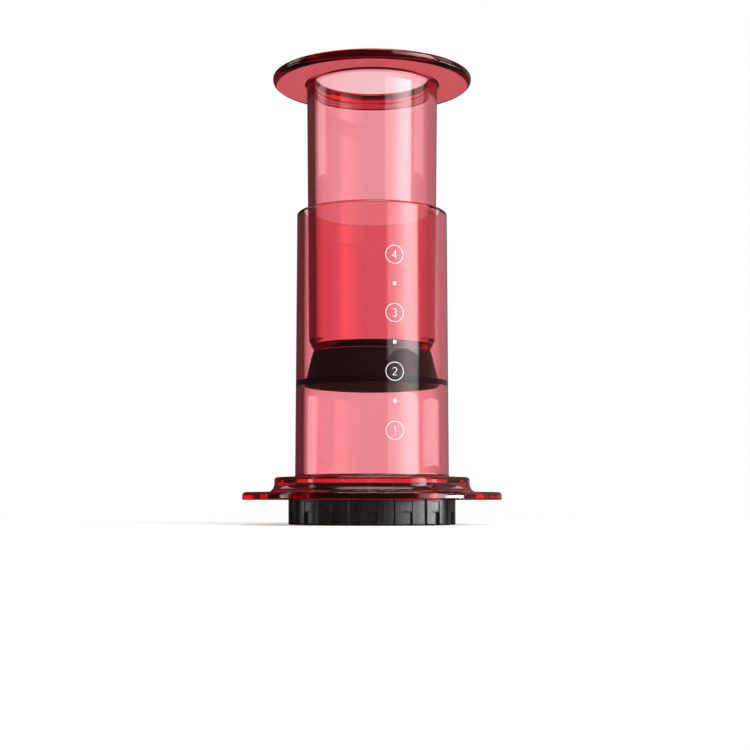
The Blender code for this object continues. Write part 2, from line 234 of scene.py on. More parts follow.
def principled(name):
    """A new material, its Principled node and its node tree."""
    made = bpy.data.materials.new(name)
    made.use_nodes = True
    return made, made.node_tree.nodes["Principled BSDF"], made.node_tree


def feed(target, key, value):
    """Link an input of a node to a socket, or set it to a number, a vector or a colour."""
    socket = target.inputs[key]
    if isinstance(value, bpy.types.NodeSocket):
        socket.id_data.links.new(value, socket)
    else:
        socket.default_value = (*value, 1) if socket.type == "RGBA" else value


def node(tree, kind, *values, **named):
    """A new shader node of that kind, with its first inputs and the named ones fed."""
    made = tree.nodes.new("ShaderNode" + kind)
    for key, value in (*enumerate(values), *named.items()):
        feed(made, key, value)
    return made


def own_place(tree):
    """The place on the piece, in metres."""
    return node(tree, "TexCoord").outputs["Object"]


def own_height(tree):
    """The height on the piece, in metres."""
    return node(tree, "SeparateXYZ", own_place(tree)).outputs["Z"]


def grey(level):
    """A colour with red, green and blue at that level."""
    return (level, level, level)


def grey_ramp(tree, value, stops):
    """A grey that follows stops (position, level), the first at 0 and the last at 1."""
    ramp = node(tree, "ValToRGB", value)
    elements = ramp.color_ramp.elements
    for element, (position, level) in zip(elements, (stops[0], stops[-1])):
        element.position = position
        element.color = (*grey(level), 1)
    for position, level in stops[1:-1]:
        elements.new(position).color = (*grey(level), 1)
    return ramp.outputs["Color"]


def maths(tree, operation, *values):
    """The output of a Math node."""
    made = node(tree, "Math", *values)
    made.operation = operation
    return made.outputs[0]


def remap(tree, value, low, high, to_low=0.0, to_high=1.0):
    """The value carried from low-high to to_low-to_high, and held at their ends."""
    return node(tree, "MapRange", value, low, high, to_low, to_high).outputs[0]


def blend(tree, share, first, second):
    """A colour between first and second."""
    made = node(tree, "Mix")
    made.data_type = "RGBA"
    for key, value in (("Factor", share), ("A", first), ("B", second)):
        feed(made, key, value)
    return made.outputs["Result"]


def noise(tree, scale, detail=2.0, stretch=(1, 1, 1)):
    """Noise on the piece's own coordinates; a stretch under 1 draws it out along that axis."""
    mapped = node(tree, "Mapping", Vector=own_place(tree), Scale=stretch).outputs[0]
    made = node(tree, "TexNoise", Vector=mapped, Scale=scale, Detail=detail)
    return made.outputs["Fac"]


def scratches(tree, scale, width, stretch=(1, 1, 1)):
    """1 along thin, broken contour lines of a noise and 0 between them."""
    off_middle = maths(tree, "SUBTRACT", noise(tree, scale, 1.0, stretch), 0.5)
    line = remap(tree, maths(tree, "ABSOLUTE", off_middle), 0.0, width * scale, 1.0, 0.0)
    unbroken = remap(tree, noise(tree, 3 * scale), 0.48, 0.56)
    return maths(tree, "MULTIPLY", line, unbroken)


def bump(tree, height, depth, under=None):
    """A bump of that depth in metres, laid over another one if given."""
    made = node(tree, "Bump", Height=height, Distance=depth)
    if under:
        feed(made, "Normal", under)
    return made.outputs["Normal"]


# %% [markdown]
# ## The clear red plastic
#
# The chamber and the plunger are moulded in a clear copolyester with a red dye in it. Paint on
# the surface would look wrong, because the colour of such a tube grows with the thickness that
# light has crossed: pale in one wall, deep where two tubes overlap, nearly black along the
# edges. So the surface only bends and mirrors the light, and the dye is an absorption in the
# volume. It keeps almost all of the red and takes about a sixth of the green and the blue in
# each millimetre. The hand flange looks deeper than its thickness alone would make it, so a tint
# on its surface helps the dye there.
#
# Moulded plastic isn't optically flat. Slow waves run along the tube where the melt flowed, a
# piston that slides leaves hairlines along it, and fingers leave patches that are a little dull.

# %% Clear plastic
DYE_PER_MM = (0.007, 0.18, 0.16)
PLASTIC_IOR = 1.5
PALE_TINT = (0.99, 0.985, 0.985)
DEEPER_TINT = (0.98, 0.35, 0.38)
DEEPER_BAND = 5.0 * MM
DEEPER_FADE = 0.5 * MM
FLOW_STRETCH = (1.0, 1.0, 0.12)
SLIDE_STRETCH = (1.0, 1.0, 0.04)

red_plastic, surface, tree = principled("clear_red_plastic")
feed(surface, "Transmission Weight", 1)
feed(surface, "IOR", PLASTIC_IOR)
smudge = remap(tree, noise(tree, scale=40, detail=3.0), 0.55, 0.72, 0.0, 0.035)
hairline = scratches(tree, scale=140, width=0.05 * MM, stretch=SLIDE_STRETCH)
feed(surface, "Roughness", maths(tree, "MULTIPLY_ADD", hairline, 0.16, smudge))
deeper_from = plunger_top - DEEPER_BAND
at_hand_flange = remap(tree, own_height(tree), deeper_from, deeper_from + DEEPER_FADE)
tint = blend(tree, noise(tree, scale=25), WHITE, PALE_TINT)
feed(surface, "Base Color", blend(tree, at_hand_flange, tint, DEEPER_TINT))
flow = bump(tree, noise(tree, scale=60, detail=1.0, stretch=FLOW_STRETCH), depth=0.004 * MM)
feed(surface, "Normal", bump(tree, hairline, depth=0.0015 * MM, under=flow))
most_dye = max(DYE_PER_MM)
dye_colour = [1 - share / most_dye for share in DYE_PER_MM]
dye = node(tree, "VolumeAbsorption", Color=dye_colour, Density=most_dye / MM)
feed(tree.nodes["Material Output"], "Volume", dye.outputs["Volume"])
print("light left after 3 mm:", [round(math.exp(-3 * share), 2) for share in DYE_PER_MM])

# %% [markdown]
# ## The chamber
#
# The chamber is one moulding. From below: a neck with five bayonet lugs, a recess that takes
# the filter cap, the hexagonal flange with its platform, and the barrel. The hexagon is a small
# core hexagon grown outward by the radius of its corners, as a coin rolled round the core would
# draw it, so the plate and the platform above it are the same shape grown by unlike amounts.
# The three parts could be joined by Booleans. Made as one outline they need none, and no seam
# shows inside the clear plastic.

# %% Chamber: sizes
BARREL_FOOT_RADIUS = BORE_RADIUS + 3.5 * MM
BARREL_RIM_RADIUS = BORE_RADIUS + 3.1 * MM
RIM_ROUND = 1.1 * MM
BARREL_FILLET = 0.9 * MM
NECK_CHAMFER = 0.5 * MM
CORNER_RADIUS = 28.2 * MM
PLATE_THICKNESS = 3.2 * MM
PLATE_LIFT = 6.7 * MM
PLATE_UPPER_ROUND = 1.4 * MM
PLATE_LOWER_ROUND = 0.4 * MM
FLARE_WIDTH = 3.0 * MM
FLARE_HEIGHT = 3.8 * MM
RECESS_INRADIUS = 35.3 * MM
PLATFORM_INRADIUS = RECESS_INRADIUS + 1.8 * MM
PLATFORM_ROUND = 1.4 * MM
PLATFORM_CEILING = 2.7 * MM
CAP_HEADROOM = 3.7 * MM
EDGE_BREAK = 0.2 * MM

plate_base = chamber_base + PLATE_LIFT
plate_top = plate_base + PLATE_THICKNESS
recess_ceiling = cap_high[2] + CAP_HEADROOM
platform_top = recess_ceiling + PLATFORM_CEILING
core_corner = chamber_high[0] - CORNER_RADIUS
core_inradius = core_corner * math.cos(TURN / 12)


def hexagon_radii(growth, angles):
    """Distance from the axis to the core hexagon grown outward by growth.

    Near a corner that is core * cos t + sqrt(growth^2 - (core * sin t)^2), where t is the angle
    from the corner. Along a side it is (core inradius + growth) / cos(30 degrees - t).
    """
    sixth = TURN / 6
    off_corner = np.abs((angles + sixth / 2) % sixth - sixth / 2)
    tangent = math.atan2(growth * math.sin(sixth / 2), core_corner + growth * math.cos(sixth / 2))
    on_corner = np.minimum(off_corner, tangent)
    reach = np.sqrt(growth**2 - (core_corner * np.sin(on_corner)) ** 2)
    corner = core_corner * np.cos(on_corner) + reach
    side = (core_inradius + growth) / np.cos(sixth / 2 - off_corner)
    return np.where(off_corner <= tangent, corner, side)


print(f"plate top at {plate_top / MM:.1f} mm, platform top at {platform_top / MM:.1f} mm")

# %% [markdown]
# ### The neck with its lugs
#
# A bayonet lug is a short block that stands out of the neck, with a small stop above it that
# ends the twist. In the grid a block is only a larger radius over a span of angles. Its ends
# have to be steep, so a line of the grid stands just inside and just outside each of them.

# %% Chamber: the neck with its lugs and stops
LUG_LIFT = 4.4 * MM
LUG_HEIGHT = 2.5 * MM
HOOK_HEIGHT = 2.0 * MM
STOP_REACH = 1.2 * MM
STOP_SPAN = math.radians(3)
STOP_INSET = math.radians(1.5)
STEP_ANGLE = math.radians(0.15)
STEP_HEIGHT = 0.05 * MM

lug_base = chamber_base + LUG_LIFT
lug_top = lug_base + LUG_HEIGHT
hook_base = lug_top + FIT_GAP
hook_top = hook_base + HOOK_HEIGHT


def block_edges(middles, span):
    """Angles just inside and just outside both ends of each block."""
    half = span / 2
    ends = (-half, -half + STEP_ANGLE, half - STEP_ANGLE, half)
    return np.add.outer(middles, ends).ravel()


def merged(*groups, digits=9):
    """The angles of all groups within one turn, in order and each once."""
    return np.unique((np.concatenate(groups) % TURN).round(digits))


def angle_off(angles, middles):
    """Angle from each angle to the nearest of the middles."""
    return np.abs((angles[:, None] - middles + math.pi) % TURN - math.pi).min(axis=1)


def block_mask(angles, middles, span):
    """1 on the blocks and 0 between them."""
    return (angle_off(angles, middles) < span / 2 - STEP_ANGLE / 2).astype(float)


lug_middles = FRONT + even_turns(LUG_COUNT)
stop_middles = lug_middles + LUG_SPAN / 2 - STOP_INSET - STOP_SPAN / 2
chamber_angles = merged(
    even_angles, block_edges(lug_middles, LUG_SPAN), block_edges(stop_middles, STOP_SPAN)
)
lug_radii = NECK_RADIUS + LUG_REACH * block_mask(chamber_angles, lug_middles, LUG_SPAN)
stop_radii = NECK_RADIUS + STOP_REACH * block_mask(chamber_angles, stop_middles, STOP_SPAN)
neck_outline = [
    (BORE_RADIUS + EDGE_BREAK, chamber_base),
    (NECK_RADIUS - NECK_CHAMFER, chamber_base),
    (NECK_RADIUS, chamber_base + NECK_CHAMFER),
    (NECK_RADIUS, lug_base),
    (lug_radii, lug_base + STEP_HEIGHT),
    (lug_radii, lug_top - STEP_HEIGHT),
    (stop_radii, lug_top),
    (stop_radii, hook_top - STEP_HEIGHT),
    (NECK_RADIUS, hook_top),
    (NECK_RADIUS, recess_ceiling),
]
print(len(neck_outline), "rows for the neck,", LUG_COUNT, "lugs")

# %% [markdown]
# ### The flange, the platform and the barrel
#
# The outline goes on outward under the plate, round its edge, up a flare to the platform, in to
# the foot of the barrel, up the drafted barrel and down the bore. The flare is a quarter of an
# ellipse. The rows of the plate and the platform are hexagons and those of the barrel are
# circles, and the grid blends the one into the other under the fillet at the barrel's foot.

# %% Chamber: the flange, the platform and the barrel
recess_growth = RECESS_INRADIUS - core_inradius
platform_growth = PLATFORM_INRADIUS - core_inradius
flare_turns = np.linspace(0, QUARTER, 16)
flange_growths = [
    (recess_growth, recess_ceiling),
    (recess_growth, plate_base),
    *round_corner(CORNER_RADIUS, plate_base, PLATE_LOWER_ROUND, LOWER_OUTER, steps=4),
    *round_corner(CORNER_RADIUS, plate_top, PLATE_UPPER_ROUND, UPPER_OUTER),
    *zip(
        platform_growth + FLARE_WIDTH * (1 - np.sin(flare_turns)),
        plate_top + FLARE_HEIGHT * (1 - np.cos(flare_turns)),
    ),
    *round_corner(platform_growth, platform_top, PLATFORM_ROUND, UPPER_OUTER),
]
flange_outline = [
    (hexagon_radii(growth, chamber_angles), height) for growth, height in flange_growths
]
barrel_outline = [
    *round_corner(BARREL_FOOT_RADIUS, platform_top, BARREL_FILLET, ON_LEDGE),
    *round_corner(BARREL_RIM_RADIUS, chamber_rim, RIM_ROUND, UPPER_OUTER),
    *round_corner(BORE_RADIUS, chamber_rim, RIM_ROUND, UPPER_INNER),
    (BORE_RADIUS, chamber_base + EDGE_BREAK),
]
chamber_outline = neck_outline + flange_outline + barrel_outline
chamber = grid_piece("clear_chamber", chamber_outline, chamber_angles, looped=True)
chamber.data.materials.append(red_plastic)
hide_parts("chamber")
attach(chamber, "chamber")

# %% [markdown]
# ## The plunger
#
# The plunger is a tube with a closed foot and a wide flange for the hand. It narrows by about a
# millimetre towards the foot so that it leaves its mould. Under the foot a mushroom post snaps
# into the seal. Its outline starts on the axis, at the middle of the post's head, and ends on
# the axis again, at the middle of the floor inside.

# %% Plunger
PLUNGER_RIM_RADIUS = BORE_RADIUS - 0.8 * MM
PLUNGER_FOOT_RADIUS = PLUNGER_RIM_RADIUS - 1.2 * MM
PLUNGER_WALL = 3.1 * MM
PLUNGER_FLOOR = 2.8 * MM
FLOOR_FILLET = 1.5 * MM
FOOT_TAPER_WIDTH = 2.2 * MM
FOOT_TAPER_HEIGHT = 4.4 * MM
HAND_FLANGE_THICKNESS = 3.8 * MM
HAND_FLANGE_LOWER_ROUND = 2.2 * MM
HAND_FLANGE_UPPER_ROUND = 1.2 * MM
HAND_FLANGE_FILLET = 1.2 * MM
MOUTH_ROUND = 1.5 * MM
POST_HEAD_RADIUS = 16.0 * MM
POST_HEAD_HEIGHT = 5.0 * MM
POST_HEAD_ROUND = 1.2 * MM
POST_NECK_RADIUS = 12.0 * MM
POST_NECK_LENGTH = 5.2 * MM

post_base = plunger_low[2]
post_shoulder = post_base + POST_HEAD_HEIGHT
plunger_base = post_shoulder + POST_NECK_LENGTH
plunger_floor = plunger_base + PLUNGER_FLOOR
hand_flange_radius = plunger_high[0]
hand_flange_base = plunger_top - HAND_FLANGE_THICKNESS
mouth_radius = PLUNGER_RIM_RADIUS - PLUNGER_WALL
foot_bore_radius = PLUNGER_FOOT_RADIUS - PLUNGER_WALL
plunger_outline = [
    (GUARD, post_base),
    *round_corner(POST_HEAD_RADIUS, post_base, POST_HEAD_ROUND, LOWER_OUTER),
    (POST_HEAD_RADIUS, post_shoulder),
    (POST_NECK_RADIUS, post_shoulder),
    (POST_NECK_RADIUS, plunger_base),
    (PLUNGER_FOOT_RADIUS - FOOT_TAPER_WIDTH, plunger_base),
    (PLUNGER_FOOT_RADIUS, plunger_base + FOOT_TAPER_HEIGHT),
    *round_corner(PLUNGER_RIM_RADIUS, hand_flange_base, HAND_FLANGE_FILLET, UNDER_LEDGE),
    *round_corner(hand_flange_radius, hand_flange_base, HAND_FLANGE_LOWER_ROUND, LOWER_OUTER),
    *round_corner(hand_flange_radius, plunger_top, HAND_FLANGE_UPPER_ROUND, UPPER_OUTER),
    *round_corner(mouth_radius, plunger_top, MOUTH_ROUND, UPPER_INNER),
    *round_corner(foot_bore_radius, plunger_floor, FLOOR_FILLET, INNER_FLOOR),
    (GUARD, plunger_floor),
]
plunger = grid_piece("clear_plunger", plunger_outline)
plunger.data.materials.append(red_plastic)
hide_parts("plunger")
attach(plunger, "plunger")

# %% [markdown]
# ## The seal
#
# The seal is one rubber moulding: a cone that hides the post, and at its foot a band that wipes
# the bore. On a real press the band is squeezed against the wall, and where rubber touches
# clear plastic the light in the wall goes out. That dark stripe in the wall is worth having,
# so the band bulges by a hair more than the bore. It is a profile turned like the others.

# %% Seal
SEAL_HEIGHT = 14.6 * MM
SEAL_BAND = 2.9 * MM
SEAL_TAPER = 3.3 * MM
SEAL_EDGE_ROUND = 0.6 * MM
SEAL_BAND_SQUEEZE = 0.02 * MM
SEAL_FLAT_SHARE = 0.55

seal_dome = seal_low[2]
seal_top = plunger_base - FIT_GAP
seal_base = seal_top - SEAL_HEIGHT
seal_radius = seal_high[0]
band_radius = BORE_RADIUS + SEAL_BAND_SQUEEZE
band_top = seal_base + SEAL_BAND
cone_top_radius = seal_radius - SEAL_TAPER
lip_radius = POST_NECK_RADIUS + FIT_GAP
socket_radius = POST_HEAD_RADIUS + FIT_GAP
flat_radius = seal_radius * SEAL_FLAT_SHARE
dome_shares = np.linspace(0, 1, 8)
seal_outline = [
    (GUARD, seal_dome),
    *zip(
        flat_radius + (seal_radius - 2 * SEAL_EDGE_ROUND - flat_radius) * dome_shares,
        seal_dome + (seal_base - seal_dome) * dome_shares**2,
    ),
    *round_corner(band_radius, seal_base, SEAL_EDGE_ROUND, LOWER_OUTER),
    *round_corner(band_radius, band_top, SEAL_EDGE_ROUND / 2, UPPER_OUTER, steps=5),
    (seal_radius - SEAL_EDGE_ROUND, band_top + FIT_GAP),
    *round_corner(cone_top_radius, seal_top, SEAL_EDGE_ROUND, UPPER_OUTER),
    (lip_radius, seal_top),
    (lip_radius, post_shoulder + FIT_GAP),
    (socket_radius, post_shoulder + FIT_GAP),
    (socket_radius, post_base - FIT_GAP),
    (GUARD, post_base - FIT_GAP),
]
seal = grid_piece("rubber_seal", seal_outline)

# %% [markdown]
# ### Black rubber
#
# Rubber is matt and a little uneven, and lint stays on it. One roughness for the whole seal
# would miss that the bore wipes the band clean and smooth. The face below the band is painted a
# lighter, mottled grey: painted light, for the light that it catches from the floor. So masks by
# height tell the three apart: dusty and dull on the cone, clean and glossier on the band, and
# painted lighter below it.

# %% Seal: rubber
CONE_BLACK = (0.013, 0.0125, 0.0125)
BAND_BLACK = (0.016, 0.0155, 0.0155)
LINT = (0.05, 0.045, 0.042)
# Painted light: two greys, mixed by noise, that paint the face below the band lighter, as if lit
# from the floor.
UNDERSIDE_LIGHT_DIM = (0.05, 0.048, 0.046)
UNDERSIDE_LIGHT_BRIGHT = (0.085, 0.08, 0.077)

rubber, surface, tree = principled("seal_rubber")
feed(surface, "Specular IOR Level", 0.22)
height = own_height(tree)
wiped = remap(tree, height, band_top, band_top + SEAL_BAND / 2, 1.0, 0.0)
# Painted light: a mask by height for the face below the band, which is painted lighter as if lit
# from the floor.
lit_underside = remap(tree, height, seal_base, seal_base + SEAL_EDGE_ROUND / 2, 1.0, 0.0)
dust = remap(tree, noise(tree, scale=1500, detail=3.0), 0.66, 0.74)
shade = blend(tree, wiped, blend(tree, dust, CONE_BLACK, LINT), BAND_BLACK)
# The painted light below the band, mottled by noise.
underside_light = blend(tree, noise(tree, scale=180, detail=4.0), UNDERSIDE_LIGHT_DIM, UNDERSIDE_LIGHT_BRIGHT)
feed(surface, "Base Color", blend(tree, lit_underside, shade, underside_light))
dull = maths(tree, "MULTIPLY_ADD", noise(tree, scale=120), 0.2, 0.5)
feed(surface, "Roughness", maths(tree, "MULTIPLY_ADD", wiped, -0.2, dull))
grain = bump(tree, noise(tree, scale=2600), depth=0.02 * MM)
nicks = scratches(tree, scale=400, width=0.06 * MM)
feed(surface, "Normal", bump(tree, nicks, depth=0.01 * MM, under=grain))
seal.data.materials.append(rubber)
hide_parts("plunger_seal")
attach(seal, "piston")
print("rubber on", seal.name)

# %% [markdown]
# ## The filter cap
#
# The cap is a shallow black moulding with a slotted floor. Round its wall stand fifteen grips,
# each a raised pad with a notch at its foot and a shallow panel above, and inside its mouth are
# the hooks that lie on the neck's lugs. Pads, notches, panels and hooks only move the wall in or
# out, so they need no cutting: the radius is a sum of soft steps in the angle and in the height,
# and the grid puts its lines where the steps are. Only the slots go right through, and those are
# cut with a Boolean.

# %% Filter cap: the wall as a sum of steps
CAP_WALL = 1.2 * MM
CAP_FLOOR = 2.5 * MM
CAP_EDGE_ROUND = 0.6 * MM
GRIP_COUNT = 15
GRIP_DEPTH = 0.9 * MM
PAD_SPAN = math.radians(16.9)
PAD_SLOPE = math.radians(0.7)
NOTCH_WIDTH = 4.5 * MM
NOTCH_HEIGHT = 5.2 * MM
NOTCH_DEPTH = 1.2 * MM
PANEL_HEIGHT = 4.0 * MM
PANEL_DEPTH = 0.4 * MM
PANEL_LEDGE = 0.4 * MM
EDGE_SOFTNESS = math.radians(0.12)
ROW_SOFTNESS = 0.12 * MM
HOOK_PLAY = math.radians(1)

cap_height = cap_high[2]
cap_bore = NECK_RADIUS + LUG_REACH + FIT_GAP
groove_radius = cap_bore + CAP_WALL
pad_radius = groove_radius + GRIP_DEPTH
notch_half = math.asin(NOTCH_WIDTH / 2 / pad_radius)
panel_base = NOTCH_HEIGHT + PANEL_LEDGE
soft_edges = (NOTCH_HEIGHT, panel_base, panel_base + PANEL_HEIGHT)
grip_middles = FRONT + even_turns(GRIP_COUNT)
hook_span = LUG_SPAN - STOP_INSET - STOP_SPAN - HOOK_PLAY
hook_middles = lug_middles + (hook_span - LUG_SPAN) / 2


def soft_step(value, edge, softness):
    """0 below the edge and 1 above it, with the curve 3t^2 - 2t^3 between edge +- softness."""
    t = np.clip((value - edge) / (2 * softness) + 0.5, 0, 1)
    return t * t * (3 - 2 * t)


def around_edge(edge, softness):
    """Values that draw a soft step well: its ends, its middle and two points between."""
    return edge + softness * np.array((-1, -0.5, 0, 0.5, 1))


# Lines of the grid over half a grip: close together at each soft step and wide between them.
pad_edge = PAD_SPAN / 2 + PAD_SLOPE / 2
half_offsets = np.concatenate(
    (
        np.linspace(0, notch_half * 0.8, 3),
        around_edge(notch_half, EDGE_SOFTNESS),
        np.linspace(notch_half * 1.2, PAD_SPAN / 2 * 0.96, 4),
        around_edge(pad_edge, PAD_SLOPE / 2),
        np.linspace(pad_edge * 1.06, TURN / GRIP_COUNT / 2, 3),
    )
)
grip_offsets = np.concatenate((-half_offsets[:0:-1], half_offsets))
grip_angles = np.add.outer(grip_middles, grip_offsets).ravel()
cap_angles = merged(grip_angles, block_edges(hook_middles, hook_span), digits=6)
cap_off = angle_off(cap_angles, grip_middles)
pads = 1 - soft_step(cap_off, pad_edge, PAD_SLOPE / 2)
window = 1 - soft_step(cap_off, notch_half, EDGE_SOFTNESS)


def wall_radii(height):
    """Radius of the cap's outside: groove + pads - notch below its height - panel in its band."""
    above_notch, above_ledge, above_panel = (
        soft_step(height, edge, ROW_SOFTNESS) for edge in soft_edges
    )
    sunk = NOTCH_DEPTH * (1 - above_notch) + PANEL_DEPTH * (above_ledge - above_panel)
    return groove_radius + GRIP_DEPTH * pads - sunk * window


row_heights = np.concatenate(
    (
        [CAP_EDGE_ROUND, NOTCH_HEIGHT / 2],
        *(around_edge(edge, ROW_SOFTNESS) for edge in soft_edges),
        [cap_height - CAP_EDGE_ROUND],
    )
)
lower_edge = round_corner(0, 0, CAP_EDGE_ROUND, LOWER_OUTER, steps=6)[:-1]
upper_edge = round_corner(0, cap_height, CAP_EDGE_ROUND, UPPER_OUTER, steps=6)[1:]
cap_outside = [
    *((wall_radii(0) + offset, height) for offset, height in lower_edge),
    *((wall_radii(height), height) for height in row_heights),
    *((wall_radii(cap_height) + offset, height) for offset, height in upper_edge),
]
print(len(cap_angles), "angles and", len(cap_outside), "rows for the cap's outside")

# %% [markdown]
# ### The mouth, the hooks and the floor
#
# The inside of the cap is plain but for the hooks, which reach in over the lugs. They are spans
# of smaller radius, made as the lugs were. The grid ends in a flat face below and another on the
# floor, because flat faces are what the slots are cut from best.

# %% Filter cap: the mouth, the hooks and the floor
MOUTH_EDGE = 0.3 * MM
hook_reach = cap_bore - NECK_RADIUS - FIT_GAP
hook_radii = cap_bore - hook_reach * block_mask(cap_angles, hook_middles, hook_span)
cap_inside = [
    *round_corner(cap_bore, cap_height, MOUTH_EDGE, UPPER_INNER, steps=4),
    (hook_radii, hook_top - STEP_HEIGHT),
    (hook_radii, hook_base),
    (cap_bore, hook_base - STEP_HEIGHT),
    *round_corner(cap_bore, CAP_FLOOR, MOUTH_EDGE, INNER_FLOOR, steps=4),
]
cap = grid_piece("moulded_filter_cap", cap_outside + cap_inside, cap_angles, flat_ends=True)

# %% [markdown]
# ### Rings of slots
#
# The floor is open in four rings of short radial slots, which hold the paper up and let it
# drain. Slots could be faked by a material, but they are seen from below, and light passes
# through them. So all of them are cut in one Boolean, with one mesh of many boxes as the cutter.

# %% Filter cap: rings of slots
SLOT_RINGS = 4
SLOT_WIDTH = 1.3 * MM
SLOT_PITCH = 4.1 * MM
SLOT_RIB = 1.4 * MM
SLOT_HUB_RADIUS = 3.6 * MM
SLOT_MARGIN = 1.0 * MM
OVERRUN = 1.0 * MM
BOX_CORNERS = np.array([(x, y, z) for z in (0, 1) for y in (-0.5, 0.5) for x in (0, 1)])
BOX_FACES = np.array(
    [(0, 2, 3, 1), (4, 5, 7, 6), (0, 1, 5, 4), (2, 6, 7, 3), (0, 4, 6, 2), (1, 3, 7, 5)]
)

slot_length = (BORE_RADIUS - SLOT_MARGIN - SLOT_HUB_RADIUS + SLOT_RIB) / SLOT_RINGS - SLOT_RIB
slot_inner = SLOT_HUB_RADIUS + np.arange(SLOT_RINGS) * (slot_length + SLOT_RIB)
slot_counts = np.round(TURN * (slot_inner + slot_length / 2) / SLOT_PITCH).astype(int)
slot_turns = np.concatenate([FRONT + even_turns(count) for count in slot_counts])
box_size = (slot_length, SLOT_WIDTH, CAP_FLOOR + 2 * OVERRUN)
out, across, up = (BOX_CORNERS * box_size - (0, 0, OVERRUN)).T
out = np.add.outer(np.repeat(slot_inner, slot_counts), out)
cosine, sine = circle(slot_turns).T[..., None]
slot_points = np.stack(
    (out * cosine - across * sine, out * sine + across * cosine, 0 * out + up), axis=-1
)
slot_faces = BOX_FACES + len(BOX_CORNERS) * np.arange(len(slot_turns))[:, None, None]
cutter = mesh_piece("slot_cutter", slot_points.reshape(-1, 3), slot_faces.reshape(-1, 4).tolist())
slots = cap.modifiers.new("slots", "BOOLEAN")
slots.operation = "DIFFERENCE"
slots.solver = "EXACT"
slots.object = cutter
cut_mesh = bpy.data.meshes.new_from_object(cap.evaluated_get(bpy.context.evaluated_depsgraph_get()))
cap.modifiers.clear()
cap.data = cut_mesh
smooth(cut_mesh)
bpy.data.objects.remove(cutter)
print(len(slot_turns), "slots cut,", len(cut_mesh.polygons), "faces left")

# %% [markdown]
# ### Satin black plastic
#
# The mould of the cap is etched, so the black plastic has a fine even grain that scatters its
# highlights. Where fingers and counters rub, the grain wears smooth and a little lighter. The
# worn places are the convex edges, and the pointiness of the mesh finds them.

# %% Filter cap: satin black plastic
DEEP_BLACK = (0.016, 0.0165, 0.017)
SOFT_BLACK = (0.024, 0.0245, 0.025)
WORN_LEVEL = 0.06
SCRATCH_LEVEL = 0.05

satin, surface, tree = principled("satin_black_plastic")
pointiness = node(tree, "NewGeometry").outputs["Pointiness"]
patchy = remap(tree, noise(tree, scale=220, detail=4.0), 0.4, 0.6)
worn = maths(tree, "MULTIPLY", remap(tree, pointiness, 0.51, 0.58), patchy)
scratch = scratches(tree, scale=260, width=0.05 * MM, stretch=(1.0, 1.0, 0.5))
shade = blend(tree, noise(tree, scale=90, detail=3.0), DEEP_BLACK, SOFT_BLACK)
shade = blend(tree, worn, shade, grey(WORN_LEVEL))
feed(surface, "Base Color", blend(tree, scratch, shade, grey(SCRATCH_LEVEL)))
dull = maths(tree, "MULTIPLY_ADD", noise(tree, scale=60), 0.12, 0.15)
feed(surface, "Roughness", maths(tree, "MULTIPLY_ADD", worn, -0.05, dull))
etched = bump(tree, noise(tree, scale=3200), depth=0.012 * MM)
feed(surface, "Normal", bump(tree, scratch, depth=-0.01 * MM, under=etched))
cap.data.materials.append(satin)
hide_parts("filter_cap")
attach(cap, "cap")
print("the cap is", round(cap.dimensions.x / MM, 1), "mm across")

# %% [markdown]
# ## The paper
#
# A round filter paper lies loose on the slotted floor. Paper is never flat once it has been cut:
# it lifts in a few soft waves that grow towards its edge. A cloth simulation could find them, but
# two sines are enough. The sheet is the same grid again, with a height that depends on the angle.

# %% Paper: the sheet
PAPER_THICKNESS = 0.18 * MM
SHARE_BY_WAVES = {3: 0.7, 7: 0.3}
paper_radius = paper_high[0]
paper_middle = (paper_low[2] + paper_high[2]) / 2
paper_lift = (paper_high[2] - paper_low[2] - PAPER_THICKNESS) / 2
ripple = sum(
    share * np.sin(waves * even_angles + waves) for waves, share in SHARE_BY_WAVES.items()
)
paper_spokes = np.linspace(GUARD, paper_radius, 24)


def paper_face(spokes, side):
    """Points with height = middle + side + lift * ripple(angle) * (radius / edge radius)^2."""
    middle = paper_middle + side
    return [(r, middle + paper_lift * ripple * (r / paper_radius) ** 2) for r in spokes]


under_face = paper_face(paper_spokes, -PAPER_THICKNESS / 2)
upper_face = paper_face(paper_spokes[::-1], PAPER_THICKNESS / 2)
sheet = grid_piece("round_filter_paper", under_face + upper_face)

# %% [markdown]
# ### Creped paper
#
# Filter paper is creped so that what it filters spreads through it, and long fibres show in it.
# The crepe is a bump from Voronoi cells, since their edges look like small creases, and the
# fibres are the same contour lines that make the scratches, wider and warmer in colour.

# %% Paper: creped and fibrous
PULP_SHADE = (0.84, 0.82, 0.77)
PULP_WHITE = (0.90, 0.885, 0.85)
FIBRE_COLOUR = (0.78, 0.75, 0.69)

paper, surface, tree = principled("filter_paper")
fibres = scratches(tree, scale=300, width=0.12 * MM, stretch=(1.0, 0.4, 1.0))
mottle = blend(tree, noise(tree, scale=500, detail=4.0), PULP_SHADE, PULP_WHITE)
feed(surface, "Base Color", blend(tree, fibres, mottle, FIBRE_COLOUR))
feed(surface, "Roughness", 0.9)
feed(surface, "Specular IOR Level", 0.2)
crepe = node(tree, "TexVoronoi", Vector=own_place(tree), Scale=1400)
creped = bump(tree, crepe.outputs["Distance"], depth=0.06 * MM)
feed(surface, "Normal", bump(tree, fibres, depth=0.03 * MM, under=creped))
sheet.data.materials.append(paper)
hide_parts("paper_filter")
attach(sheet, "cap")
print("paper lifts by up to", round(2 * paper_lift / MM, 2), "mm")

# %% [markdown]
# ## The printed scale
#
# A column of four numbered rings with a dot between each two is printed in white on the barrel.
# Print can be painted by a material or laid on as thin geometry. Geometry stays crisp at any
# distance and shows from behind through the clear wall too. So each line is a ribbon of ink,
# less than a tenth of a millimetre thick, that is drawn on a plane and then bent round the
# barrel. It reaches a little into the wall, so that no light gets in under it.

